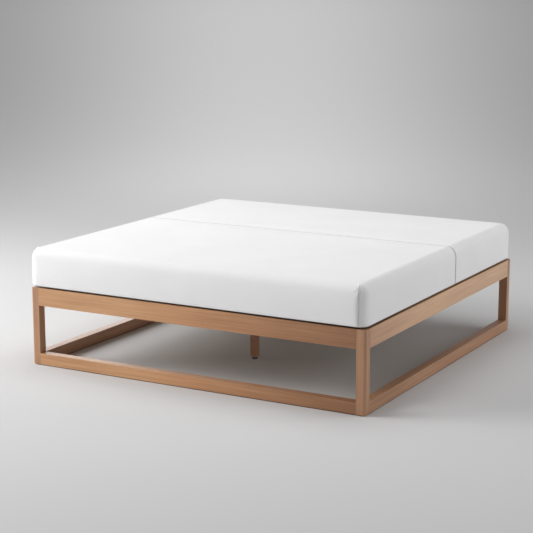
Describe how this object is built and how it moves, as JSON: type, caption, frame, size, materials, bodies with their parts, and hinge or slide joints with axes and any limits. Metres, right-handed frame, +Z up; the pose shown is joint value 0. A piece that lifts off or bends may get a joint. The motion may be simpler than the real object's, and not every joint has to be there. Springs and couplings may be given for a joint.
{
  "type": "bed frame",
  "caption": "Low square bed frame of solid wood with open sides, a base rail on three of them, a slatted deck, and a mattress in two sections.",
  "frame": {"origin": "on the floor, under the middle of the bed", "axes": "+X to the right along the front rail, +Y from the front to the back, +Z up"},
  "size_m": [2.02, 2.02, 0.646],
  "materials": {
    "frame_wood": "satin oiled, reddish brown, fine straight grain",
    "deck_wood": "plain planed",
    "slat_wood": "plain planed",
    "mattress_cover": "smooth matte white knit",
    "webbing": "woven tape",
    "felt": "dark felt",
    "foot_plastic": "matte black",
    "hanger_steel": "satin black powder coat",
    "zinc_steel": "bright zinc plated",
    "insert_brass": "turned"
  },
  "bodies": {
    "frame": {"beam_hanger_back": "hanger_steel", "beam_hanger_front": "hanger_steel", "centre_beam": "deck_wood", "centre_leg_back": "frame_wood", "centre_leg_front": "frame_wood", "corner_post_back_left": "frame_wood", "corner_post_back_right": "frame_wood", "corner_post_front_left": "frame_wood", "corner_post_front_right": "frame_wood", "foot_insert_back": "insert_brass", "foot_insert_front": "insert_brass", "half_moon_washers": "zinc_steel", "hanger_screws": "zinc_steel", "hanger_studs": "zinc_steel", "ledger_screws": "zinc_steel", "leg_plate_back": "hanger_steel", "leg_plate_front": "hanger_steel", "leg_plate_screws": "zinc_steel", "leg_top_screws": "zinc_steel", "lower_rail_front": "frame_wood", "lower_rail_left": "frame_wood", "lower_rail_right": "frame_wood", "post_pads": "felt", "rail_felts": "felt", "slat_ledger_left": "deck_wood", "slat_ledger_right": "deck_wood", "stud_nuts": "zinc_steel", "upper_rail_back": "frame_wood", "upper_rail_front": "frame_wood", "upper_rail_left": "frame_wood", "upper_rail_right": "frame_wood"},
    "slat_roll": {"slat_01": "slat_wood", "slat_02": "slat_wood", "slat_03": "slat_wood", "slat_04": "slat_wood", "slat_05": "slat_wood", "slat_06": "slat_wood", "slat_07": "slat_wood", "slat_08": "slat_wood", "slat_09": "slat_wood", "slat_10": "slat_wood", "slat_11": "slat_wood", "slat_12": "slat_wood", "slat_13": "slat_wood", "slat_14": "slat_wood", "slat_webbing_centre": "webbing", "slat_webbing_left": "webbing", "slat_webbing_right": "webbing"},
    "mattress_front": {"mattress_front_section": "mattress_cover"},
    "mattress_back": {"mattress_back_section": "mattress_cover"},
    "front_foot_pad": {"foot_pad_front": "foot_plastic"},
    "back_foot_pad": {"foot_pad_back": "foot_plastic"},
    "front_foot_stud": {"foot_stud_front": "zinc_steel"},
    "back_foot_stud": {"foot_stud_back": "zinc_steel"}
  },
  "joints": [
    {"name": "slat_roll_lift", "type": "slide", "parent": "frame", "child": "slat_roll", "axis": [0, 0, 1], "range_m": [0, 0.3]},
    {"name": "mattress_front_lift", "type": "slide", "parent": "slat_roll", "child": "mattress_front", "axis": [0, 0, 1], "range_m": [0, 0.4]},
    {"name": "mattress_back_lift", "type": "slide", "parent": "slat_roll", "child": "mattress_back", "axis": [0, 0, 1], "range_m": [0, 0.4]},
    {"name": "front_foot_travel", "type": "slide", "parent": "frame", "child": "front_foot_pad", "axis": [0, 0, -1], "range_m": [-0.0026, 0.0126]},
    {"name": "front_foot_turn", "type": "hinge", "parent": "front_foot_pad", "child": "front_foot_stud", "pos_m": [0, -0.31, 0.02], "axis": [0, 0, -1], "range_deg": [-720, 3600]},
    {"name": "back_foot_travel", "type": "slide", "parent": "frame", "child": "back_foot_pad", "axis": [0, 0, -1], "range_m": [-0.0026, 0.0126]},
    {"name": "back_foot_turn", "type": "hinge", "parent": "back_foot_pad", "child": "back_foot_stud", "pos_m": [0, 0.31, 0.02], "axis": [0, 0, -1], "range_deg": [-720, 3600]}
  ],
  "couplings": [
    {"joint": "front_foot_travel", "follows": "front_foot_turn", "m_per_rad": 0.00019894},
    {"joint": "back_foot_travel", "follows": "back_foot_turn", "m_per_rad": 0.00019894}
  ]
}
